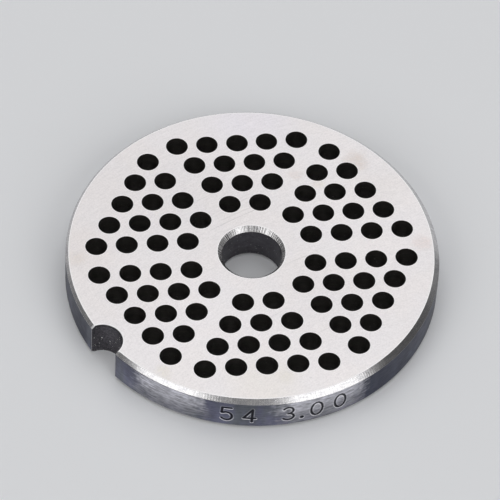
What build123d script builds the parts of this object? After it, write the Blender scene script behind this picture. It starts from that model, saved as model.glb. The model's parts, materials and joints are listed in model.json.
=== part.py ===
"""Meat grinder plate: a ground steel disc that the grinder's knife runs against.

It is one solid. Six sectors of drilled holes surround a bore for the stud of the feed
screw, and a round notch in the rim takes the locating pin of the grinder's head.
Both faces are alike, so the plate can be turned over when one face is worn.

Lengths are in millimetres and angles in degrees. +Z is up, the origin is the centre of
the lower face, and the notch is on the -Y side.
"""

import os
from math import cos, hypot, radians, sin, sqrt

from build123d import *

# Disc
plate_diameter = 53.5
plate_thickness = 6.0
rim_chamfer = 0.55

# Bore for the stud of the feed screw
bore_diameter = 8.65
bore_chamfer = 0.5

# Drilled holes: each sector is a wedge of a triangular lattice
sector_count = 6
first_row_holes = 2        # each row further out has one hole more
hole_diameter = 3.15
hole_web = 1.23            # metal between neighbouring holes
hub_ring = 4.675           # from the bore's wall to the centre line of the first row
rim_margin = 2.9           # metal kept between every hole and the rim

# Notch for the locating pin, centred on the rim
notch_diameter = 5.5
notch_bearing = -90.0
sector_lag = 2.3           # from the axis of the nearest sector to the notch

plate_radius = plate_diameter / 2
bore_radius = bore_diameter / 2
hole_radius = hole_diameter / 2
notch_radius = notch_diameter / 2
hole_pitch = hole_diameter + hole_web
row_spacing = hole_pitch * sqrt(3) / 2
first_row_distance = bore_radius + hub_ring
furthest_hole_centre = plate_radius - rim_margin - hole_radius


def polar_point(distance, bearing):
    """The point at this distance from the axis, in this direction."""
    return (distance * cos(radians(bearing)), distance * sin(radians(bearing)))


notch_centre = polar_point(plate_radius, notch_bearing)


def hole_fits(centre):
    """Whether a hole here leaves its margin at the rim and its web at the notch."""
    inside_rim = hypot(*centre) <= furthest_hole_centre
    to_notch = hypot(centre[0] - notch_centre[0], centre[1] - notch_centre[1])
    return inside_rim and to_notch >= notch_radius + hole_web + hole_radius


def sector_holes(bearing):
    """Hole centres of the sector whose axis points this way, row by row outwards."""
    centres = []
    distance = first_row_distance
    holes_in_row = first_row_holes
    while distance <= furthest_hole_centre:
        for place in range(holes_in_row):
            across = (place - (holes_in_row - 1) / 2) * hole_pitch
            along_x, along_y = polar_point(distance, bearing)
            across_x, across_y = polar_point(across, bearing + 90)
            centre = (along_x + across_x, along_y + across_y)
            if hole_fits(centre):
                centres.append(centre)
        distance += row_spacing
        holes_in_row += 1
    return centres


def all_holes():
    """Hole centres of every sector."""
    centres = []
    for sector in range(sector_count):
        bearing = notch_bearing - sector_lag + sector * 360 / sector_count
        centres.extend(sector_holes(bearing))
    return centres


def turned_disc():
    """The disc as it leaves the lathe, with its bore and its chamfered edges."""
    half_section = [
        (bore_radius + bore_chamfer, 0),
        (plate_radius - rim_chamfer, 0),
        (plate_radius, rim_chamfer),
        (plate_radius, plate_thickness - rim_chamfer),
        (plate_radius - rim_chamfer, plate_thickness),
        (bore_radius + bore_chamfer, plate_thickness),
        (bore_radius, plate_thickness - bore_chamfer),
        (bore_radius, bore_chamfer),
    ]
    with BuildPart() as disc:
        with BuildSketch(Plane.XZ):
            with BuildLine():
                Polyline(*half_section, close=True)
            make_face()
        revolve(axis=Axis.Z)
    return disc.part


def grinder_plate():
    """The disc with its holes drilled through and its notch milled in the rim."""
    with BuildPart() as plate:
        add(turned_disc())
        with BuildSketch():
            with Locations(*all_holes()):
                Circle(hole_radius)
            with Locations(notch_centre):
                Circle(notch_radius)
        extrude(amount=plate_thickness, mode=Mode.SUBTRACT)
    return plate.part


os.makedirs("parts", exist_ok=True)
export_step(grinder_plate(), "parts/grinder_plate.step")
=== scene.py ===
import json
import math

import bpy
import numpy as np
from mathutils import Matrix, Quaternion, Vector, geometry


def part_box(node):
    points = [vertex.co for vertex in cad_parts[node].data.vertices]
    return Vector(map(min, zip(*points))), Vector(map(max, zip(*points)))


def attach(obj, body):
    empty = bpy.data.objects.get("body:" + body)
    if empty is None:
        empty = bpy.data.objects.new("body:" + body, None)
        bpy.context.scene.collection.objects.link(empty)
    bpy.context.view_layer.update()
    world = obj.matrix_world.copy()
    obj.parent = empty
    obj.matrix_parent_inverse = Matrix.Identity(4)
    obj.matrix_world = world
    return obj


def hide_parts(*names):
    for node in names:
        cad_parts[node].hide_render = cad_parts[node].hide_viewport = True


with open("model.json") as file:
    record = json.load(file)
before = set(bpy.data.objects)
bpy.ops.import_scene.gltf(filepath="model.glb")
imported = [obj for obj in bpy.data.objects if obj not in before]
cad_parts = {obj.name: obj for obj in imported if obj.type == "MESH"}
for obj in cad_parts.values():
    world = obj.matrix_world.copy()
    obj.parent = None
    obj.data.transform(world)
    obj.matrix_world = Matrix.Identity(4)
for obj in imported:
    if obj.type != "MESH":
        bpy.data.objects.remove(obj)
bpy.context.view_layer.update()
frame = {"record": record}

# ---------------------------------------------------------------- sizes, in millimetres
NODE = "grinder_plate"
LOW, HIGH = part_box(NODE)
MOUNTS = {mount["name"]: mount for mount in frame["record"]["mounts"]}

THICKNESS = (HIGH[2] - LOW[2]) * 1000
RIM_R = MOUNTS["rim"]["dims"]["r_mm"]
RIM_CHAMFER = (THICKNESS - MOUNTS["rim"]["dims"]["length_mm"]) / 2
BORE_R = MOUNTS["bore"]["dims"]["r_mm"]
BORE_CHAMFER = (THICKNESS - MOUNTS["bore"]["dims"]["length_mm"]) / 2

HOLE_R = 1.575
HOLE_PITCH = 4.38
ROW_SPACING = HOLE_PITCH * math.sqrt(3) / 2
FIRST_ROW = 9.0
ROWS = 4
SECTORS = 6
NOTCH_R = 2.77
NOTCH_BEARING = -90.35             # it was milled a little off the CAD's -90
NOTCH_HALF_GAP = 6.7               # degrees from there to the rim's first column
SECTOR_BEARING = -92.3

DRIFT = np.array([-0.17, -0.09])   # where the drill and the face cutter were centred
BORE_CENTRE = np.array([-0.02, -0.125])
DRILL_WANDER = 0.0175              # spread of a hole from its place
CORNER = 0.06                      # rounding where two turned surfaces meet
LIP = 0.032                        # rounding at the mouth of a hole
NOTCH_BEVEL = 0.11                 # width of the bevel at the mouth of the notch
NOTCH_CORNER = 0.028               # rounding of the notch's two upright corners
HIGHLIGHT_RING = 0.15                   # width of the ring round each hole where a highlight is painted

COLUMN_STEP = 0.24                 # degrees between the columns of the rim
RIM_MARKS = 440                    # tool marks in one turn of the rim's chamfers
UPPER_RIPPLE = 0.0036              # their height on the upper chamfer
UPPER_SET_IN = 0.004               # how far they are set in, to stay within the CAD's box
LOWER_RIPPLE = 0.006
CHATTER_ZONES = ((-54, -35), (-11, 16))    # bearings where the tool chattered on the rim
CALM = 0.08                        # share of the ripple that is left between those zones

MARK_STEP = 0.13                   # the column step where the numbers are stamped
MARK_SECTOR = (-49.6, -7.0)        # bearings of that stretch of the wall
MARK_HEIGHTS = (1.2, 4.76)
MARK_ROW = 0.057                   # height of one row of its grid
SIGN_SCALE = 0.92
STAMP_DEPTH = 0.14
STROKE = 0.205                     # half the width of a stamped stroke
BURR = 0.009                       # height of the metal raised beside a stroke
BURR_WIDTH = 0.06
SIGN_TILTS = (0.02, -0.03, 0.015, 0.0, -0.02, 0.03)    # how much each leans, as a slope
SIGN_LIFTS = (0.05, 0.0, 0.06, 0.03, -0.03, 0.04)      # how unevenly they stand
SIGN_FOOT = 1.44                   # height of their feet

BORE_COLUMNS = 1200
BORE_MARKS = 75                    # ripples in one turn of the bore's chamfers
BORE_RIPPLE = 0.004
BORE_GROOVES = 148                 # cuts in one turn of the bore's chamfers
GROOVE_DEPTH = 0.030
GROOVE_WIDTH = 0.42                # degrees
GROOVE_SLANT = 0.4                 # degrees that a groove leans over the chamfer
BORE_QUIET = ((100, 121), (150, 174))      # bearings where its grooves are shallow

HOLE_SIDES = 40
NOTCH_STEPS = 44                   # columns round the notch, between its corners
CORNER_STEPS = 3                   # columns round each of its upright corners

FACE, CHAMFER, WALL, BORE_EDGE, BORE_WALL, HOLE, NOTCH = range(7)

rng = np.random.default_rng(7)


def unit(bearing):
    """Unit vectors for bearings in degrees, as (..., 2)."""
    angle = np.radians(bearing)
    return np.stack([np.cos(angle), np.sin(angle)], axis=-1)


def wave(bearings, knots, seed):
    """Smooth noise round the circle, from -1 to 1, with this many knots in a turn."""
    values = np.random.default_rng(seed).uniform(-1, 1, knots)
    place = (np.asarray(bearings) % 360) / 360 * knots
    low = np.floor(place).astype(int)
    part = place - low
    part = part * part * (3 - 2 * part)
    return values[low % knots] * (1 - part) + values[(low + 1) % knots] * part


def chatter(bearings, marks, seed):
    """Tool marks along a turned edge: uneven ripples, from about -1 to 1."""
    bearings = np.asarray(bearings)
    strength = 0.6 + 0.4 * wave(bearings, marks // 7, seed)
    shift = 1.6 * wave(bearings, marks // 5, seed + 1)
    ripple = np.sin(np.radians(bearings) * marks + shift)
    return strength * ripple + 0.45 * wave(bearings, marks * 2, seed + 2)


def grooves(bearings, count, width, seed):
    """Narrow cuts across a turned edge, unevenly spaced: 0 between them, up to 1 in them."""
    draw = np.random.default_rng(seed)
    depth = np.zeros(len(bearings))
    for index in range(count):
        place = (index + draw.uniform(-0.32, 0.32)) * 360 / count
        away = (bearings - place + 180) % 360 - 180
        strength = draw.uniform(0.3, 1.0)
        depth = np.maximum(depth, strength * np.exp(-(away / width) ** 2))
    return depth


def within(bearings, zones, soft):
    """1 inside these stretches of bearings and 0 outside them, over a soft border."""
    share = np.zeros(np.shape(bearings))
    for start, end in zones:
        turn = (np.asarray(bearings) - start + 180) % 360 - 180
        rise = np.clip((turn + soft) / (2 * soft), 0, 1)
        fall = np.clip((end - start - turn + soft) / (2 * soft), 0, 1)
        share = np.maximum(share, np.minimum(rise, fall))
    return share * share * (3 - 2 * share)


def rounded(corner_r, corner_z, arriving, leaving, radius):
    """Three (r, z) places that round a corner of a profile."""
    arriving = np.array(arriving) / np.hypot(*arriving)
    leaving = np.array(leaving) / np.hypot(*leaving)
    turn = math.acos(float(arriving @ leaving))
    reach = radius * math.tan(turn / 2)
    inward = leaving - arriving
    inward = inward / np.hypot(*inward) * radius * (1 / math.cos(turn / 2) - 1)
    places = []
    for step in (-arriving * reach, inward, leaving * reach):
        places.append((corner_r + step[0], corner_z + step[1]))
    return places


def slope(start, end, parts):
    """(r, z) places on a straight stretch, at these parts of its length."""
    return [(start[0] + (end[0] - start[0]) * part, start[1] + (end[1] - start[1]) * part)
            for part in parts]


# ---------------------------------------------------------------- stamped numbers
def segment_distance(x, y, ax, ay, bx, by):
    """Distance from points to a straight stroke."""
    dx, dy = bx - ax, by - ay
    part = np.clip(((x - ax) * dx + (y - ay) * dy) / (dx * dx + dy * dy), 0, 1)
    return np.hypot(x - ax - part * dx, y - ay - part * dy)


def arc_distance(x, y, cx, cy, rx, ry, start, end):
    """Distance from points to an elliptic stroke, walked in short straight steps."""
    best = np.full(np.shape(x), 9.0)
    count = 14
    for index in range(count):
        a = math.radians(start + (end - start) * index / count)
        b = math.radians(start + (end - start) * (index + 1) / count)
        best = np.minimum(best, segment_distance(
            x, y, cx + rx * math.cos(a), cy + ry * math.sin(a),
            cx + rx * math.cos(b), cy + ry * math.sin(b)))
    return best


def strokes(sign, x, y):
    """Distance from points to the strokes of one sign, whose foot is at y = 0."""
    if sign == "0":
        return arc_distance(x, y, 0, 1.6, 0.92, 1.52, 0, 360)
    if sign == "3":
        upper = arc_distance(x, y, 0, 2.32, 0.78, 0.78, 150, -90)
        lower = arc_distance(x, y, 0, 0.82, 0.86, 0.74, 90, -150)
        return np.minimum(upper, lower)
    if sign == "4":
        best = segment_distance(x, y, 0.4, 3.1, -0.9, 0.95)
        best = np.minimum(best, segment_distance(x, y, -0.9, 0.95, 0.9, 0.95))
        return np.minimum(best, segment_distance(x, y, 0.4, 3.1, 0.4, 0.1))
    if sign == "5":
        best = segment_distance(x, y, -0.65, 3.1, 0.75, 3.1)
        best = np.minimum(best, segment_distance(x, y, -0.65, 3.1, -0.75, 1.8))
        return np.minimum(best, arc_distance(x, y, -0.05, 1.05, 0.88, 0.95, 125, -145))
    return np.maximum(np.hypot(x, y - 0.25) - 0.16, 0.0)


# plain sizes in millimetres: the plate's diameter and its holes
STAMPS = [("5", -46.0), ("4", -39.2), ("3", -27.4), (".", -23.2), ("0", -18.6), ("0", -10.8)]


def stroke_distance(bearings, heights):
    """Distance from these places of the rim's wall to the nearest stamped stroke."""
    best = np.full(np.shape(bearings), 9.0)
    for index, (sign, bearing) in enumerate(STAMPS):
        across = np.radians(bearings - bearing) * RIM_R
        tilt = SIGN_TILTS[index]
        up = heights - (SIGN_FOOT + SIGN_LIFTS[index])
        away = strokes(sign, (across + tilt * up) / SIGN_SCALE, (up - tilt * across) / SIGN_SCALE)
        best = np.minimum(best, away * SIGN_SCALE)
    return best


def stamp_depth(bearings, heights):
    """How deep the stamped numbers go in, with the burr raised mostly below each stroke."""
    best = stroke_distance(bearings, heights)
    step = 0.03
    below = np.clip((best - stroke_distance(bearings, heights + step)) / step, 0, 1)
    groove = np.clip(1 - best / STROKE, 0, 1)
    groove = groove * groove * (3 - 2 * groove)
    burr = np.exp(-((best - STROKE * 1.25) / BURR_WIDTH) ** 2)
    return STAMP_DEPTH * groove - BURR * burr * (0.3 + 0.7 * below)


# ---------------------------------------------------------------- the mesh
class Builder:
    """Collects vertices, faces and their finishes."""

    def __init__(self):
        self.points = []
        self.worn = []
        self.cut = {}
        self.faces = []
        self.finish = []

    def add(self, x, y, z, worn=0.0):
        """One row of vertices; gives their numbers."""
        low, high = np.array(LOW) * 1000, np.array(HIGH) * 1000
        x, y, z = (np.clip(value, low[axis], high[axis]) for axis, value in enumerate((x, y, z)))
        x, y, z = np.broadcast_arrays(x, y, z)
        first = len(self.points)
        self.points.extend(zip(x.tolist(), y.tolist(), z.tolist()))
        self.worn.extend([worn] * len(x))
        return list(range(first, first + len(x)))

    def face(self, numbers, finish):
        self.faces.append(numbers)
        self.finish.append(finish)

    def band(self, upper, lower, finish, flip=False, skip=()):
        """Quads between two closed rows; finish is one value, or one for each column."""
        count = len(upper)
        for index in range(count):
            if index in skip:
                continue
            after = (index + 1) % count
            quad = [upper[index], lower[index], lower[after], upper[after]]
            if flip:
                quad.reverse()
            self.face(quad, finish if isinstance(finish, int) else finish[index])


mesh = Builder()


def rim_width(bearings):
    """Width of the upper chamfer, which was cut a little off the plate's axis."""
    return RIM_CHAMFER - unit(bearings) @ DRIFT


def rim_profile(bearings, ragged):
    """The rim's rows from the upper face down to the lower one: (r, z) for each.

    Rows 0 to 8 make the upper chamfer with its rounded edges, and rows 9 to 15 the lower one.
    """
    width = rim_width(bearings)
    upper = rounded(RIM_R - width, THICKNESS, (1, 0), (1, -1), CORNER)
    upper_end = rounded(RIM_R, THICKNESS - width, (1, -1), (0, -1), CORNER)
    lower = rounded(RIM_R, RIM_CHAMFER, (0, -1), (-1, -1), CORNER)
    lower_end = rounded(RIM_R - RIM_CHAMFER, 0.0, (-1, -1), (-1, 0), CORNER)
    rows = upper + slope(upper[2], upper_end[0], (0.15, 0.43, 0.72)) + upper_end
    rows += lower + slope(lower[2], lower_end[0], (0.85,)) + lower_end
    rows = [(np.broadcast_to(r, np.shape(bearings)).astype(float).copy(),
             np.broadcast_to(z, np.shape(bearings)).astype(float).copy()) for r, z in rows]
    if ragged:
        rough = CALM + (1 - CALM) * within(bearings, CHATTER_ZONES, 4)
        marks = chatter(bearings, RIM_MARKS, 11)
        other = chatter(bearings, RIM_MARKS, 51)
        # the marks drift on their way down the chamfer, from one pattern to the other
        for row, share in {2: 1.3, 3: 0.7, 4: 0.6, 5: 0.7, 6: 0.9}.items():
            blend = (row - 2) / 4
            ripple = (marks * (1 - blend) + other * blend) * UPPER_RIPPLE * share * rough
            rows[row][0][:] += ripple - UPPER_SET_IN
            rows[row][1][:] += ripple - UPPER_SET_IN
        for row, share in {12: 0.8, 13: 1.0, 14: 0.8}.items():
            rows[row][0][:] += marks * LOWER_RIPPLE * share - LOWER_RIPPLE
            rows[row][1][:] -= marks * LOWER_RIPPLE * share - LOWER_RIPPLE
    return rows


def rim_bearings():
    """Bearings of the rim's columns, from the notch's +X side round to its -X side.

    Also gives the first column of the stamped stretch, and the one after its last.
    """
    start = NOTCH_BEARING + NOTCH_HALF_GAP
    end = NOTCH_BEARING + 360 - NOTCH_HALF_GAP
    low, high = MARK_SECTOR
    before = np.linspace(start, low, int((low - start) / COLUMN_STEP), endpoint=False)
    marked = np.linspace(low, high, int((high - low) / MARK_STEP), endpoint=False)
    after = np.linspace(high, end, int((end - high) / COLUMN_STEP))
    first = len(before)
    return np.concatenate([before, marked, after]), first, first + len(marked)


def notch_turns(radius, height):
    """The loop's stretch through the notch, from its -X corner to its +X corner."""
    notch_r = NOTCH_R + max(0.0, NOTCH_BEVEL - min(THICKNESS - height, height))
    centre = np.array([0.0, -RIM_R])
    # centre of the rounded corner, from the two circles it touches
    a, b, span = radius - NOTCH_CORNER, notch_r + NOTCH_CORNER, RIM_R
    along = (a * a - b * b + span * span) / (2 * span)
    aside = math.sqrt(a * a - along * along)
    places = []
    for side in (-1, 1):
        corner = np.array([side * aside, -along])
        outward = corner / np.hypot(*corner)
        inward = (centre - corner) / np.hypot(*(centre - corner))
        start = math.atan2(outward[1], outward[0])
        turn = math.atan2(inward[1], inward[0]) - start
        turn = (turn + math.pi) % (2 * math.pi) - math.pi
        arc = []
        for index in range(CORNER_STEPS + 1):
            angle = start + turn * index / CORNER_STEPS
            arc.append(corner + NOTCH_CORNER * np.array([math.cos(angle), math.sin(angle)]))
        places.append(arc)
    left, right = places[0], places[1][::-1]
    from_left = left[-1] - centre
    from_right = right[0] - centre
    start = math.atan2(from_left[1], from_left[0])
    end = math.atan2(from_right[1], from_right[0])
    if start < end:
        start += 2 * math.pi
    middle = []
    for index in range(1, NOTCH_STEPS):
        angle = start + (end - start) * index / NOTCH_STEPS
        middle.append(centre + notch_r * np.array([math.cos(angle), math.sin(angle)]))
    places = np.array(left + middle + right)
    across, along = unit(NOTCH_BEARING + 90)
    return places @ np.array([[across, along], [-along, across]])


def build_rim():
    """Rim, chamfers, stamped numbers and notch. Gives the loops that bound the faces."""
    bearings, first, last = rim_bearings()
    rows = rim_profile(bearings, True)
    at_notch = rim_profile(np.array([NOTCH_BEARING]), False)
    loops = []
    notch_columns = 0
    for (r, z), (notch_r, notch_z) in zip(rows, at_notch):
        direction = unit(bearings)
        turn = notch_turns(float(notch_r[0]), float(notch_z[0]))
        notch_columns = len(turn)
        x = np.concatenate([direction[:, 0] * r, turn[:, 0]])
        y = np.concatenate([direction[:, 1] * r, turn[:, 1]])
        height = np.concatenate([z, np.full(len(turn), float(notch_z[0]))])
        loops.append(mesh.add(x, y, height))
    columns = len(bearings)
    last_upper = 8
    # a highlight is painted on the notch's mouths, and on its -X corner across the upper chamfer
    for row, loop in enumerate(loops):
        mouth = row in (1, 2) or row in (len(loops) - 3, len(loops) - 2)
        first_highlit = columns if row < last_upper else columns + CORNER_STEPS + 1
        last_highlit = len(loop) if mouth else columns + CORNER_STEPS + 1
        for number in loop[first_highlit:last_highlit]:
            mesh.worn[number] = 1.0

    def finishes(rim_finish, notch_finish=NOTCH, corner=CORNER_STEPS):
        """One finish for each column: the rim's own, then the notch's."""
        plan = [rim_finish] * columns + [CHAMFER] * corner
        plan += [notch_finish] * (notch_columns - 2 * corner)
        plan += [rim_finish] * (columns + notch_columns - len(plan))
        return plan

    for row in range(len(loops) - 1):
        if row == last_upper:
            continue
        bevel = row < 3 or row >= len(loops) - 4
        corner = CORNER_STEPS + 1 if row < last_upper else CORNER_STEPS
        finish = finishes(CHAMFER, CHAMFER if bevel else NOTCH, corner)
        mesh.band(loops[row], loops[row + 1], finish)

    # the wall: plain quads, with a fine grid where the numbers are
    upper, lower = loops[last_upper], loops[last_upper + 1]
    skipped = set(range(first - 1, last))
    mesh.band(upper, lower, finishes(WALL), skip=skipped)
    heights = np.arange(MARK_HEIGHTS[1], MARK_HEIGHTS[0], -MARK_ROW)
    fine = bearings[first:last]
    direction = unit(fine)
    grid = [upper[first:last]]
    for index, height in enumerate(heights):
        depth = stamp_depth(fine, np.full(len(fine), height))
        if index in (0, len(heights) - 1):
            depth = depth * 0
        depth[0] = depth[-1] = 0
        numbers = mesh.add(direction[:, 0] * (RIM_R - depth), direction[:, 1] * (RIM_R - depth),
                           height)
        mesh.cut.update(zip(numbers, depth.tolist()))
        grid.append(numbers)
    grid.append(lower[first:last])
    for above, below in zip(grid, grid[1:]):
        for column in range(len(fine) - 1):
            mesh.face([above[column], below[column], below[column + 1], above[column + 1]], WALL)
    left_edge = [row[0] for row in grid]
    right_edge = [row[-1] for row in grid]
    mesh.face([upper[first - 1], lower[first - 1]] + left_edge[::-1], WALL)
    mesh.face(right_edge + [lower[last], upper[last]], WALL)
    return loops[0], loops[-1]


def build_bore():
    """Bore, with its two chamfers. Gives the loops at the two faces."""
    bearings = np.arange(BORE_COLUMNS) * 360 / BORE_COLUMNS
    direction = unit(bearings)
    width = BORE_CHAMFER + direction @ (DRIFT - BORE_CENTRE)
    upper = rounded(BORE_R + width, THICKNESS, (-1, 0), (-1, -1), CORNER)
    upper_end = rounded(BORE_R, THICKNESS - width, (-1, -1), (0, -1), CORNER)
    lower = rounded(BORE_R, BORE_CHAMFER, (0, -1), (1, -1), CORNER)
    lower_end = rounded(BORE_R + BORE_CHAMFER, 0.0, (1, -1), (1, 0), CORNER)
    rows = upper + slope(upper[2], upper_end[0], (0.25, 0.5, 0.75)) + upper_end
    last_edge = len(rows) - 1
    rows += lower + lower_end
    rows = [(np.broadcast_to(r, width.shape).astype(float).copy(),
             np.broadcast_to(z, width.shape).astype(float).copy()) for r, z in rows]
    first = chatter(bearings, BORE_MARKS, 21)
    second = chatter(bearings, BORE_MARKS, 31)
    strength = 0.7 + 0.3 * wave(bearings, 17, 41)
    strength = strength * (1 - 0.30 * within(bearings, BORE_QUIET, 7))
    cuts = strength * grooves(bearings, BORE_GROOVES, GROOVE_WIDTH, 61)
    other = strength * grooves(bearings + GROOVE_SLANT, BORE_GROOVES, GROOVE_WIDTH, 61)
    cut_rows = {}
    for row, share in {1: 0.6, 2: 1.0, 3: 1.0, 4: 1.0, 5: 0.9, 6: 0.8, 7: 0.4}.items():
        blend = (row - 1) / 6
        cut_rows[row] = (cuts * (1 - blend) + other * blend) * share
        ripple = (first * (1 - blend) + second * blend) * BORE_RIPPLE * share
        ripple = ripple - GROOVE_DEPTH * cut_rows[row] - BORE_RIPPLE
        rows[row][0][:] -= ripple
        rows[row][1][:] += ripple
    # the lower chamfer has them at half the depth
    for row in range(len(rows) - 4, len(rows) - 1):
        rows[row][0][:] += GROOVE_DEPTH * cuts * 0.5
        rows[row][1][:] += GROOVE_DEPTH * cuts * 0.5
    loops = []
    for row, (r, z) in enumerate(rows):
        place = direction * r[:, None] + BORE_CENTRE
        numbers = mesh.add(place[:, 0], place[:, 1], z)
        if row in cut_rows:
            mesh.cut.update(zip(numbers, cut_rows[row].tolist()))
        loops.append(numbers)
    for row in range(len(loops) - 1):
        finish = BORE_WALL if row == last_edge else BORE_EDGE
        mesh.band(loops[row], loops[row + 1], finish, flip=True)
    return loops[0], loops[-1]


def hole_centres():
    """Where the drill went in, sector by sector and row by row."""
    centres = []
    for sector in range(SECTORS):
        axis = SECTOR_BEARING + sector * 360 / SECTORS
        for row in range(ROWS):
            for place in range(row + 2):
                across = (place - (row + 1) / 2) * HOLE_PITCH
                centre = unit(axis) * (FIRST_ROW + row * ROW_SPACING)
                centre = centre + unit(axis + 90) * across + DRIFT
                centres.append(centre + rng.normal(0, DRILL_WANDER, 2))
    return centres


def build_holes():
    """The drilled holes. Gives the ring round each at the upper and the lower face."""
    upper_rings, lower_rings = [], []
    for centre in hole_centres():
        direction = unit(np.arange(HOLE_SIDES) * 360 / HOLE_SIDES + rng.uniform(0, 9))
        radius = HOLE_R + rng.uniform(-0.012, 0.012)
        lip = LIP * rng.uniform(0.7, 1.3)
        # the last number of each row is how much painted highlight it takes
        rows = [(radius + HIGHLIGHT_RING, THICKNESS, 0.0), (radius + lip, THICKNESS, 1.0),
                (radius + lip * 0.3, THICKNESS - lip * 0.3, 1.0),
                (radius, THICKNESS - lip, 1.0),
                (radius, lip, 0.0), (radius + lip * 0.3, lip * 0.3, 1.0),
                (radius + lip, 0.0, 1.0), (radius + HIGHLIGHT_RING, 0.0, 0.0)]
        loops = []
        for r, z, worn in rows:
            place = direction * r + centre
            loops.append(mesh.add(place[:, 0], place[:, 1], z, worn))
        for row in range(len(loops) - 1):
            on_face = row in (0, 1, 5, 6)
            finish = FACE if on_face else HOLE
            mesh.band(loops[row], loops[row + 1], finish, flip=True)
        upper_rings.append(loops[0])
        lower_rings.append(loops[-1])
    return upper_rings, lower_rings


def build_face(outline, bore, rings, up):
    """One flat face, between the outline, the bore and the rings round the holes."""
    loops = [outline, bore] + rings
    numbers, places, edges, owner = [], [], [], []
    for loop_index, loop in enumerate(loops):
        start = len(numbers)
        for place, number in enumerate(loop):
            numbers.append(number)
            places.append(Vector(mesh.points[number][:2]))
            edges.append((start + place, start + (place + 1) % len(loop)))
            owner.append(loop_index)
    result = geometry.delaunay_2d_cdt(places, edges, [], 0, 1e-6, True)
    new_places, triangles, sources = result[0], result[2], result[3]
    origin = []
    for place, source in zip(new_places, sources):
        if source:
            origin.append(source[0])
        else:
            raise ValueError("the face's loops cross near %s" % place)
    for triangle in triangles:
        corners = [origin[index] for index in triangle]
        owners = {owner[index] for index in corners}
        if len(owners) == 1:
            if owners.pop() > 0:    # inside the bore or a hole
                continue
            middle = sum((places[index] for index in corners), Vector((0, 0))) / 3
            notch = unit(NOTCH_BEARING) * RIM_R
            if math.hypot(middle.x - notch[0], middle.y - notch[1]) < NOTCH_R + NOTCH_BEVEL:
                continue
        a, b, c = (places[index] for index in corners)
        turning = (b.x - a.x) * (c.y - a.y) - (b.y - a.y) * (c.x - a.x)
        if (turning > 0) != up:
            corners.reverse()
        mesh.face([numbers[index] for index in corners], FACE)


rim_upper, rim_lower = build_rim()
bore_upper, bore_lower = build_bore()
rings_upper, rings_lower = build_holes()
build_face(rim_upper, bore_upper, rings_upper, True)
build_face(rim_lower, bore_lower, rings_lower, False)

data = bpy.data.meshes.new("plate")
data.from_pydata([(x / 1000, y / 1000, z / 1000) for x, y, z in mesh.points], [], mesh.faces)
data.polygons.foreach_set("material_index", mesh.finish)
data.polygons.foreach_set("use_smooth", [True] * len(mesh.faces))
# painted highlight: how strongly the finishes whiten each vertex
worn = data.attributes.new("worn", "FLOAT", "POINT")
worn.data.foreach_set("value", mesh.worn)
cut = data.attributes.new("cut", "FLOAT", "POINT")
cut.data.foreach_set("value", [mesh.cut.get(i, 0.0) for i in range(len(mesh.points))])
data.update()
data.validate()
plate = bpy.data.objects.new("plate", data)
bpy.context.scene.collection.objects.link(plate)


def shade(data, flat_finish):
    """Area-weighted normals, so that flats stay flat right up to their rounded edges."""
    count, corners = len(data.polygons), len(data.loops)
    normals = np.empty(count * 3)
    areas, totals, finishes = (np.empty(count) for _ in range(3))
    vertices = np.empty(corners, dtype=np.int32)
    data.polygons.foreach_get("normal", normals)
    data.polygons.foreach_get("area", areas)
    data.polygons.foreach_get("loop_total", totals)
    data.polygons.foreach_get("material_index", finishes)
    data.loops.foreach_get("vertex_index", vertices)
    normals = normals.reshape(-1, 3)
    owner = np.repeat(np.arange(count), totals.astype(int))
    summed = np.zeros((len(data.vertices), 3))
    np.add.at(summed, vertices, (normals * areas[:, None])[owner])
    smooth = summed[vertices]
    smooth /= np.maximum(np.linalg.norm(smooth, axis=1, keepdims=True), 1e-12)
    flat = finishes[owner] == flat_finish
    smooth[flat] = normals[owner][flat]
    data.normals_split_custom_set(smooth.tolist())


shade(data, FACE)


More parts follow.
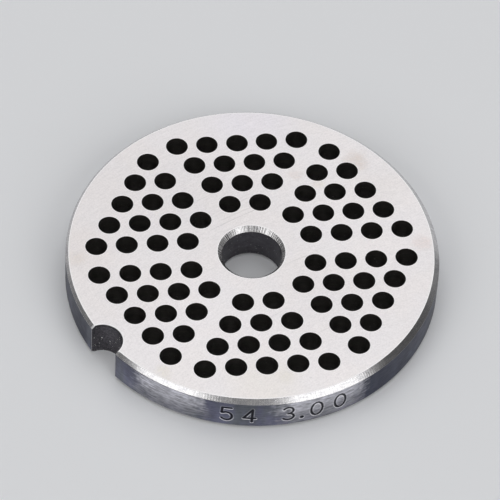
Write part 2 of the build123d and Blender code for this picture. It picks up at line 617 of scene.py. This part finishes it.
# ---------------------------------------------------------------- finishes
class Finish:
    """A material whose nodes are added by short calls. Lengths are in millimetres."""

    def __init__(self, name, **shader):
        self.material = bpy.data.materials.new(name)
        self.material.use_nodes = True
        self.tree = self.material.node_tree
        self.shader = self.tree.nodes["Principled BSDF"]
        for socket, value in shader.items():
            self.shader.inputs[socket.replace("_", " ")].default_value = value
        coordinates = self.node("ShaderNodeTexCoord")
        self.place = self.vector("MULTIPLY", coordinates.outputs["Object"], (1000, 1000, 1000))
        split = self.node("ShaderNodeSeparateXYZ", Vector=self.place)
        self.x, self.y, self.z = split.outputs

    def node(self, kind, settings=None, **inputs):
        node = self.tree.nodes.new(kind)
        for name, value in (settings or {}).items():
            setattr(node, name, value)
        for name, value in inputs.items():
            self.connect(node.inputs[name.replace("_", " ")], value)
        return node

    def connect(self, socket, value):
        if isinstance(value, bpy.types.NodeSocket):
            self.tree.links.new(value, socket)
        else:
            socket.default_value = value

    def vector(self, operation, first, second=None):
        node = self.node("ShaderNodeVectorMath", {"operation": operation})
        self.connect(node.inputs[0], first)
        if second is not None:
            self.connect(node.inputs[1], second)
        name = "Value" if operation in ("LENGTH", "DISTANCE", "DOT_PRODUCT") else "Vector"
        return node.outputs[name]

    def math(self, operation, first, second=0.0):
        node = self.node("ShaderNodeMath", {"operation": operation})
        self.connect(node.inputs[0], first)
        self.connect(node.inputs[1], second)
        return node.outputs[0]

    def combine(self, x, y, z):
        return self.node("ShaderNodeCombineXYZ", X=x, Y=y, Z=z).outputs[0]

    def noise(self, place, scale, detail=2.0, rough=0.5):
        node = self.node("ShaderNodeTexNoise", Vector=place, Scale=scale, Detail=detail,
                         Roughness=rough)
        return node.outputs["Fac"]

    def fit(self, value, low, high, to_low=0.0, to_high=1.0, smooth=True):
        kind = "SMOOTHSTEP" if smooth else "LINEAR"
        node = self.node("ShaderNodeMapRange", {"interpolation_type": kind}, Value=value,
                         From_Min=low, From_Max=high, To_Min=to_low, To_Max=to_high)
        return node.outputs["Result"]

    def mix(self, factor, first, second):
        node = self.node("ShaderNodeMix", {"data_type": "RGBA"})
        self.connect(node.inputs[0], factor)
        self.connect(node.inputs[6], first)
        self.connect(node.inputs[7], second)
        return node.outputs[2]

    def scaled(self, colour, factor):
        node = self.node("ShaderNodeMix", {"data_type": "RGBA", "blend_type": "MULTIPLY"})
        node.inputs[0].default_value = 1.0
        self.connect(node.inputs[6], colour)
        self.connect(node.inputs[7], self.combine(factor, factor, factor))
        return node.outputs[2]

    def polar(self, centre=(0.0, 0.0), turns=1.0, rings=1.0, lift=0.0):
        """A place whose X, Y run round the centre, and Z outwards plus a share of height."""
        offset = self.vector("SUBTRACT", self.combine(self.x, self.y, 0.0), (*centre, 0.0))
        distance = self.vector("LENGTH", offset)
        around = self.vector("NORMALIZE", offset)
        around = self.vector("MULTIPLY", around, (turns, turns, 0.0))
        out = self.math("MULTIPLY", distance, rings)
        if lift:
            out = self.math("ADD", out, self.math("MULTIPLY", self.z, lift))
        return self.vector("ADD", around, self.combine(0.0, 0.0, out)), distance

    def bearing(self):
        """Degrees round the plate's axis."""
        return self.math("MULTIPLY", self.math("ARCTAN2", self.y, self.x), 180 / math.pi)

    def window(self, value, begins, ends):
        """1 between two soft borders, each given as its outer and its inner value."""
        return self.math("MULTIPLY", self.fit(value, *begins), self.fit(value, *ends))

    def windows(self, value, zones, soft):
        """1 in these stretches; each border is soft this far to both sides of it."""
        share = 0.0
        for start, end in zones:
            inside = self.window(value, (start - soft, start + soft), (end + soft, end - soft))
            share = self.math("MAXIMUM", share, inside)
        return share

    def attribute(self, name):
        """A number that the mesh keeps at each of its vertices."""
        return self.node("ShaderNodeAttribute", {"attribute_name": name}).outputs["Fac"]

    def colour(self, value):
        self.connect(self.shader.inputs["Base Color"], value)

    def roughness(self, value):
        self.connect(self.shader.inputs["Roughness"], value)

    def bump(self, height, depth):
        """Fine relief; depth is in millimetres."""
        node = self.node("ShaderNodeBump", Height=height, Strength=1.0, Distance=depth / 1000)
        self.connect(self.shader.inputs["Normal"], node.outputs[0])


def rgb(red, green, blue):
    return (red, green, blue, 1.0)


WHITE = rgb(1.0, 1.0, 1.0)

# where the arcs that the grinding wheel left on the faces have their centre
WHEEL_CENTRE = (69.0, -7.0)
# scratches: the arc's radius about that centre, then the middle of the scratch (x, y),
# half its length and how strongly it shows
SCRATCHES = [
    (75.9, -6.6, 2.0, 5.5, 0.16), (76.6, -7.2, 3.5, 4.0, 0.12), (74.6, -5.4, 1.5, 3.0, 0.10),
    (78.3, -9.2, 4.5, 5.0, 0.10), (81.5, -12.0, -1.0, 3.5, 0.09), (65.2, 4.4, 4.6, 2.6, 0.10),
    (58.3, 10.9, -5.5, 3.0, 0.10), (52.4, 17.0, 1.0, 3.4, 0.09), (84.6, -14.5, 9.0, 2.5, 0.09),
]


def ground_face():
    """Surface-ground steel: fine grain, arcs left by the wheel, scratches, soft stains."""
    f = Finish("ground_face", Metallic=1.0, Roughness=0.36)
    grain = f.noise(f.place, 4.2, 2.0, 0.6)
    arcs, from_wheel = f.polar(WHEEL_CENTRE, 60.0, 3.0)
    wheel = f.noise(arcs, 1.0, 3.0, 0.65)
    cloud = f.noise(f.place, 0.15, 2.0, 0.5)
    flat_place = f.combine(f.x, f.y, 0.0)
    tone = f.math("ADD", f.fit(grain, 0.3, 0.7, -0.06, 0.06, False), 1.0)
    tone = f.math("ADD", tone, f.fit(wheel, 0.3, 0.7, -0.05, 0.05, False))
    broad = f.noise(f.place, 0.05, 1.0, 0.5)
    tone = f.math("ADD", tone, f.fit(broad, 0.35, 0.65, -0.03, 0.015, False))
    for radius, x, y, reach, strength in SCRATCHES:
        off_line = f.math("ABSOLUTE", f.math("SUBTRACT", from_wheel, radius))
        away = f.vector("DISTANCE", flat_place, (x, y, 0.0))
        line = f.math("MULTIPLY", f.fit(off_line, 0.10, 0.02, 0.0, strength),
                      f.fit(away, reach, reach * 0.6))
        tone = f.math("SUBTRACT", tone, line)
    # a little duller on the side where the plate is held
    held = f.vector("DISTANCE", flat_place, (-17.0, -10.0, 0.0))
    tone = f.math("SUBTRACT", tone, f.fit(held, 22.0, 4.0, 0.0, 0.02))
    base = f.mix(f.fit(cloud, 0.35, 0.65), rgb(0.797, 0.764, 0.766), rgb(0.786, 0.760, 0.770))
    # wide, faint tarnish near the edge: x, y, size, strength and colour
    for x, y, size, strength, tint in [
            (-20.0, 15.0, 9.0, 0.45, rgb(0.775, 0.752, 0.825)),
            (-15.0, -19.5, 7.0, 0.40, rgb(0.745, 0.690, 0.670)),
            (19.0, -13.0, 7.0, 0.40, rgb(0.760, 0.722, 0.665)),
            (2.0, 21.5, 6.0, 0.30, rgb(0.740, 0.700, 0.680)),
    ]:
        away = f.vector("DISTANCE", flat_place, (x, y, 0.0))
        base = f.mix(f.fit(away, size, size * 0.2, 0.0, strength), base, tint)
    # a few old stains, each with an uneven, streaky edge, given in the same way
    drawn = f.fit(wheel, 0.35, 0.65, 0.5, 1.3, False)
    edge = f.math("MULTIPLY", f.math("SUBTRACT", f.noise(f.place, 0.55, 3.0, 0.6), 0.5), 2.6)
    stains = [
        (-4.5, 22.8, 1.7, 0.34, rgb(0.55, 0.45, 0.38)),
        (-4.5, 15.5, 0.9, 0.22, rgb(0.60, 0.53, 0.40)),
        (-7.5, 14.0, 0.8, 0.20, rgb(0.58, 0.46, 0.40)),
        (13.0, 20.5, 1.2, 0.22, rgb(0.62, 0.45, 0.40)),
        (20.0, -10.0, 1.3, 0.20, rgb(0.60, 0.56, 0.44)),
        (-14.1, -20.8, 1.2, 0.26, rgb(0.60, 0.52, 0.44)),
        (9.4, -23.3, 1.1, 0.24, rgb(0.62, 0.58, 0.42)),
    ]
    for x, y, size, strength, tint in stains:
        away = f.vector("DISTANCE", flat_place, (x, y, 0.0))
        away = f.math("ADD", away, edge)
        amount = f.math("MULTIPLY", f.fit(away, size * 1.6, size * 0.2, 0.0, strength), drawn)
        base = f.mix(amount, base, tint)
    specks = f.fit(f.noise(f.place, 1.9, 2.0, 0.7), 0.70, 0.76)
    patch = f.fit(f.noise(f.place, 0.11, 1.0, 0.5), 0.42, 0.62)
    base = f.mix(f.math("MULTIPLY", f.math("MULTIPLY", specks, patch), 0.45),
                 base, rgb(0.45, 0.44, 0.46))
    # painted highlight: the face is whitened in a ring round each hole and along the rim, bore
    # and notch
    worn = f.attribute("worn")
    _, radius = f.polar(tuple(float(v) for v in DRIFT))
    near_rim = f.fit(radius, RIM_R - RIM_CHAMFER - 0.2, RIM_R - RIM_CHAMFER)
    near_bore = f.fit(radius, BORE_R + BORE_CHAMFER + 0.2, BORE_R + BORE_CHAMFER)
    notch = tuple(float(v) for v in unit(NOTCH_BEARING) * RIM_R)
    _, radius = f.polar(notch)
    near_notch = f.fit(radius, NOTCH_R + NOTCH_BEVEL + 0.2, NOTCH_R + NOTCH_BEVEL)
    edges = f.math("MAXIMUM", worn, f.math("MAXIMUM", near_rim, near_bore))
    edges = f.math("MAXIMUM", edges, near_notch)
    base = f.scaled(base, tone)
    base = f.mix(f.math("MULTIPLY", edges, 0.85), base, rgb(0.97, 0.965, 0.97))
    f.colour(base)
    f.roughness(f.fit(wheel, 0.2, 0.8, 0.33, 0.41, False))
    relief = f.math("ADD", f.math("MULTIPLY", wheel, 0.6), f.math("MULTIPLY", grain, 0.4))
    f.bump(relief, 0.0026)
    return f.material


def turned_chamfer():
    """A turned edge: fine streaks along it, faint marks across it, a few bright burrs."""
    f = Finish("turned_chamfer", Metallic=1.0, Roughness=0.24)
    along, _ = f.polar((0.0, 0.0), 26.0, 0.0, 5.0)
    streaks = f.noise(along, 1.0, 2.0, 0.6)
    across, _ = f.polar((0.0, 0.0), 110.0, 0.0, 0.8)
    marks = f.noise(across, 1.0, 2.0, 0.6)
    grit = f.noise(f.place, 3.2, 2.0, 0.6)
    base = f.mix(f.fit(streaks, 0.35, 0.6), rgb(0.54, 0.535, 0.55), rgb(0.65, 0.64, 0.645))
    # painted shadow: the lower chamfer darkens towards its foot, where it meets the floor
    base = f.scaled(base, f.fit(f.z, 0.35, 0.75, 0.35, 1.0))
    base = f.scaled(base, f.fit(marks, 0.3, 0.7, 0.90, 1.10, False))
    base = f.scaled(base, f.fit(grit, 0.3, 0.7, 0.92, 1.08, False))
    burrs = f.fit(f.noise(f.place, 2.7, 1.0, 0.5), 0.70, 0.75)
    base = f.mix(f.math("MULTIPLY", burrs, 0.5), base, WHITE)
    # painted shade: darker from about -4 to 58 degrees, and beside the notch
    bearing = f.bearing()
    painted_shade = f.window(bearing, (-4.0, 9.0), (58.0, 48.0))
    base = f.scaled(base, f.fit(painted_shade, 0.0, 1.0, 1.0, 0.48, False))
    by_notch = f.window(bearing, (-96.0, -88.0), (-73.0, -80.0))
    base = f.scaled(base, f.fit(by_notch, 0.0, 1.0, 1.0, 0.72, False))
    worn = f.attribute("worn")
    # painted highlight: the chamfer is whitened on the notch's mouths and its -X corner
    base = f.mix(worn, base, WHITE)
    f.colour(base)
    f.roughness(f.math("ADD", f.fit(grit, 0.3, 0.7, 0.27, 0.21, False),
                       f.math("MULTIPLY", worn, 0.45)))
    f.bump(f.math("ADD", streaks, f.math("MULTIPLY", grit, 0.3)), 0.0008)
    return f.material


# bearings of the wall's patches
# painted sheen at these bearings
SHEEN_ZONES = ((-76, -55), (-29, -3), (66, 92), (121, 148), (-168, -145))
# painted shade, darker, at these bearings
PAINTED_SHADE_ZONES = ((-4, 58), (96, 116), (-136, -97))


def brushed_wall():
    """The rim's wall: brushed blue-grey steel, painted dark for the dark reflection, with patches
    of painted sheen, and its stamped numbers.
    """
    f = Finish("brushed_wall", Metallic=1.0, Roughness=0.42, Anisotropic=0.5)
    tangent = f.node("ShaderNodeTangent", {"direction_type": "RADIAL", "axis": "Z"})
    f.connect(f.shader.inputs["Tangent"], tangent.outputs[0])
    long_lines, _ = f.polar((0.0, 0.0), 18.0, 0.0, 3.1)
    brushed = f.noise(long_lines, 1.0, 2.0, 0.6)
    short_lines, _ = f.polar((0.0, 0.0), 20.0, 0.0, 3.6)
    fine = f.noise(short_lines, 1.0, 2.0, 0.6)
    upright, _ = f.polar((0.0, 0.0), 9.0, 0.0, 0.15)
    streaks = f.noise(upright, 1.0, 3.0, 0.6)
    hues = f.noise(f.vector("ADD", upright, (7.0, 3.0, 5.0)), 1.0, 2.0, 0.5)
    # patches of painted sheen, with uneven borders, stronger towards the top
    bearing = f.math("ADD", f.bearing(), f.fit(streaks, 0.2, 0.8, -5.0, 5.0, False))
    bearing = f.math("ADD", bearing, f.fit(brushed, 0.2, 0.8, -3.0, 3.0, False))
    sheen_patches = f.windows(bearing, SHEEN_ZONES, 4.0)
    low_edge = f.fit(f.z, 0.6, 4.4, 0.55, 1.15, False)
    sheen_patches = f.math("MULTIPLY", sheen_patches, low_edge)
    # and stretches of painted shade, darker
    painted_shade = f.windows(bearing, PAINTED_SHADE_ZONES, 5.0)
    # painted reflection: the dark blue-grey stands in for the dark surroundings that the wall
    # reflects
    dull = f.mix(f.fit(hues, 0.38, 0.62), rgb(0.140, 0.150, 0.172), rgb(0.150, 0.154, 0.215))
    dull = f.mix(painted_shade, dull, rgb(0.050, 0.055, 0.082))
    dull = f.scaled(dull, f.fit(streaks, 0.3, 0.7, 0.74, 1.22, False))
    dull = f.scaled(dull, f.fit(fine, 0.3, 0.7, 0.84, 1.17, False))
    # painted light: brighter towards the foot
    dull = f.scaled(dull, f.fit(f.z, 0.8, THICKNESS - 0.8, 1.35, 0.88, False))
    # painted sheen: the patches' light colour, brighter towards the top
    light = f.scaled(rgb(0.485, 0.480, 0.520), f.fit(brushed, 0.3, 0.7, 0.86, 1.14, False))
    light = f.scaled(light, f.fit(f.z, 2.0, 3.8, 0.80, 1.24))
    light = f.scaled(light, f.fit(fine, 0.3, 0.7, 0.56, 1.42, False))
    base = f.mix(sheen_patches, dull, light)
    # painted shade: a darker band just below the upper chamfer
    under_chamfer = f.fit(f.z, THICKNESS - RIM_CHAMFER - 0.28, THICKNESS - RIM_CHAMFER - 0.02)
    base = f.scaled(base, f.math("SUBTRACT", 1.0, f.math("MULTIPLY", under_chamfer, 0.35)))
    pits = f.fit(f.noise(f.place, 2.2, 2.0, 0.6), 0.68, 0.76)
    base = f.mix(f.math("MULTIPLY", pits, 0.4), base, rgb(0.04, 0.04, 0.05))
    # painted shade: the stamped grooves are darkened
    stamp = f.attribute("cut")
    base = f.mix(f.fit(stamp, 0.004, STAMP_DEPTH * 0.30, 0.0, 0.95), base,
                 rgb(0.022, 0.022, 0.028))
    # painted highlight: the burrs beside the strokes are whitened
    base = f.mix(f.fit(stamp, -0.0006, -BURR * 0.6, 0.0, 1.0), base, rgb(1.0, 0.99, 1.0))
    f.colour(base)
    f.roughness(f.fit(brushed, 0.25, 0.75, 0.36, 0.5, False))
    f.bump(f.math("ADD", brushed, f.math("MULTIPLY", fine, 0.5)), 0.006)
    return f.material


DIMMED_BEARING = 148                  # the side of the bore's chamfer where shade is painted


def bore_edge():
    """The bore's chamfer, darker in its grooves."""
    f = Finish("bore_edge", Metallic=1.0, Roughness=0.24)
    fine, _ = f.polar((0.0, 0.0), 95.0, 0.0, 2.0)
    lines = f.noise(fine, 1.0, 2.0, 0.6)
    grit = f.noise(f.place, 4.0, 2.0, 0.6)
    base = f.scaled(rgb(0.70, 0.69, 0.695), f.fit(lines, 0.3, 0.7, 0.68, 1.16, False))
    base = f.scaled(base, f.fit(grit, 0.3, 0.7, 0.86, 1.14, False))
    # painted shade: darker on that side, and brighter away from it
    around = f.vector("NORMALIZE", f.combine(f.x, f.y, 0.0))
    dimmed_side = tuple(float(v) for v in unit(DIMMED_BEARING)) + (0.0,)
    toward_dimmed = f.vector("DOT_PRODUCT", around, dimmed_side)
    base = f.scaled(base, f.fit(toward_dimmed, 0.60, 0.72, 1.20, 0.87))
    cut = f.attribute("cut")
    base = f.mix(f.fit(cut, 0.08, 0.5, 0.0, 0.95), base, rgb(0.02, 0.02, 0.025))
    f.colour(base)
    f.roughness(f.fit(lines, 0.3, 0.7, 0.3, 0.2, False))
    f.bump(lines, 0.003)
    return f.material


def dark_wall(name, tint, seed, rings, specks, speck_scale, foot_to_top, mouth=1.0, grit=0.10):
    """A machined wall with fine grain and bright nicks, whose dark tint is painted shade.

    It is shaded from foot_to_top, and by mouth in its last half millimetre.
    """
    f = Finish(name, Metallic=1.0, Roughness=0.45)
    across, _ = f.polar((0.0, 0.0), 4.0, 0.0, rings)
    shifted = f.vector("ADD", across, (seed, seed * 0.7, seed * 1.3))
    turned = f.noise(shifted, 1.0, 3.0, 0.6)
    cloud = f.noise(f.vector("ADD", f.place, (seed, 0.0, seed)), 0.6, 2.0, 0.5)
    base = f.scaled(rgb(*tint), f.fit(turned, 0.25, 0.75, 0.80, 1.20, False))
    base = f.scaled(base, f.fit(cloud, 0.3, 0.7, 0.88, 1.14, False))
    base = f.scaled(base, f.fit(f.z, 0.8, THICKNESS - 0.6, *foot_to_top, False))
    base = f.scaled(base, f.fit(f.z, THICKNESS - 0.55, THICKNESS - 0.2, 1.0, mouth))
    place = f.vector("ADD", f.place, (0.0, seed, 0.0))
    grain = f.noise(place, 3.9, 2.0, 0.6)
    base = f.scaled(base, f.fit(grain, 0.3, 0.7, 1.0 - grit, 1.0 + grit, False))
    nicks = f.fit(f.noise(place, speck_scale, 1.0, 0.5), 0.705, 0.725)
    base = f.mix(f.math("MULTIPLY", nicks, specks), base, rgb(1.0, 0.99, 0.96))
    f.colour(base)
    f.bump(turned, 0.006)
    return f.material


# in the order of FACE, CHAMFER, WALL, BORE_EDGE, BORE_WALL, HOLE and NOTCH
for material in (
        ground_face(), turned_chamfer(), brushed_wall(), bore_edge(),
        dark_wall("bore_wall", (0.112, 0.108, 0.121), 3.1, 2.0, 0.25, 3.6, (0.80, 1.30)),
        dark_wall("hole_wall", (0.165, 0.155, 0.145), 7.7, 2.0, 0.20, 3.6, (0.7, 1.3)),
        dark_wall("notch_wall", (0.105, 0.100, 0.112), 5.3, 0.8, 1.0, 4.0, (1.0, 0.9),
                  mouth=0.45, grit=0.42)):
    data.materials.append(material)

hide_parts(NODE)
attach(plate, "root")


# ---------------------------------------------------------------- floor, light and camera
def plain(name, colour):
    """A dull, even material."""
    material = bpy.data.materials.new(name)
    material.use_nodes = True
    shader = material.node_tree.nodes["Principled BSDF"]
    shader.inputs["Base Color"].default_value = colour
    shader.inputs["Roughness"].default_value = 0.8
    shader.inputs["Specular IOR Level"].default_value = 0.2
    return material


FLOOR_SIZE = 12                     # metres
FLOOR_GAP = 0.00002                 # keeps the floor's plane off the plate's lower face
bpy.ops.mesh.primitive_plane_add(size=FLOOR_SIZE, location=(0, 0, LOW[2] - FLOOR_GAP))
floor = bpy.context.object
floor.name = "floor"
floor.data.materials.append(plain("pale_floor", rgb(0.86, 0.87, 0.89)))

CAMERA_BEARING = -41.3


def softbox(name, bearing, elevation, distance, size, level):
    """A square area lamp whose surface has this brightness, aimed at the plate.

    The angles are in degrees, and the distance and size in metres.
    """
    lamp = bpy.data.lights.new(name, "AREA")
    lamp.shape = "SQUARE"
    lamp.size = size
    lamp.energy = math.pi * size * size * level
    holder = bpy.data.objects.new(name, lamp)
    turn, rise = math.radians(bearing), math.radians(elevation)
    direction = Vector((math.cos(rise) * math.cos(turn), math.cos(rise) * math.sin(turn),
                        math.sin(rise)))
    holder.location = direction * distance
    holder.rotation_euler = direction.to_track_quat("Z", "Y").to_euler()
    bpy.context.scene.collection.objects.link(holder)


softbox("box_behind", CAMERA_BEARING + 180, 52, 3.6, 2.9, 0.71)
softbox("box_left", CAMERA_BEARING - 40, 34, 3.0, 1.8, 1.6)
softbox("box_right", CAMERA_BEARING + 46, 34, 3.0, 1.97, 1.6)
softbox("box_above", 0, 90, 3.0, 2.4, 0.78)

# the room: brighter overhead, and pale at the horizon, where it stands behind the floor
LOW_LIGHT = 0.13
OVERHEAD = 0.27                     # what it gains by the zenith
HORIZON = 0.62
HORIZON_TOP = 0.14                  # the sine of the elevation where the pale band ends
HORIZON_FULL = 0.05                 # and up to where it is full
world = bpy.data.worlds.new("studio")
world.use_nodes = True
sky = world.node_tree


def sky_node(kind, **settings):
    node = sky.nodes.new(kind)
    for name, value in settings.items():
        setattr(node, name, value)
    return node


ray = sky_node("ShaderNodeTexCoord")
height = sky_node("ShaderNodeSeparateXYZ")
rise = sky_node("ShaderNodeMath", operation="MULTIPLY_ADD")
rise.inputs[1].default_value = OVERHEAD
rise.inputs[2].default_value = LOW_LIGHT
band = sky_node("ShaderNodeMapRange", interpolation_type="SMOOTHSTEP")
for socket, value in {"From Min": HORIZON_TOP, "From Max": HORIZON_FULL}.items():
    band.inputs[socket].default_value = value
blend = sky_node("ShaderNodeMix", data_type="FLOAT")
blend.inputs[3].default_value = HORIZON
sky.links.new(ray.outputs["Generated"], height.inputs[0])
sky.links.new(height.outputs["Z"], rise.inputs[0])
sky.links.new(height.outputs["Z"], band.inputs["Value"])
sky.links.new(band.outputs["Result"], blend.inputs[0])
sky.links.new(rise.outputs[0], blend.inputs[2])
sky.links.new(blend.outputs[0], sky.nodes["Background"].inputs["Strength"])
sky.nodes["Background"].inputs["Color"].default_value = WHITE
bpy.context.scene.world = world

# the camera's place, aim and roll, worked out from the photo
CAMERA_PLACE = (0.27805, -0.24429, 0.46699)
CAMERA_AIM = Vector((-0.00238, 0.001518, 0.003))
CAMERA_LENS = 297.9
CAMERA_ROLL = 3.64                  # degrees
camera_data = bpy.data.cameras.new("camera")
camera_data.sensor_width = 36.0
camera_data.lens = CAMERA_LENS
camera_data.clip_start = 0.01
camera = bpy.data.objects.new("camera", camera_data)
bpy.context.scene.collection.objects.link(camera)
camera.location = CAMERA_PLACE
facing = (CAMERA_AIM - camera.location).to_track_quat("-Z", "Y")
camera.rotation_mode = "QUATERNION"
camera.rotation_quaternion = facing @ Quaternion((0, 0, 1), math.radians(CAMERA_ROLL))
bpy.context.scene.camera = camera
bpy.context.scene.view_settings.view_transform = "Standard"

print("plate triangles:", sum(len(face) - 2 for face in mesh.faces))
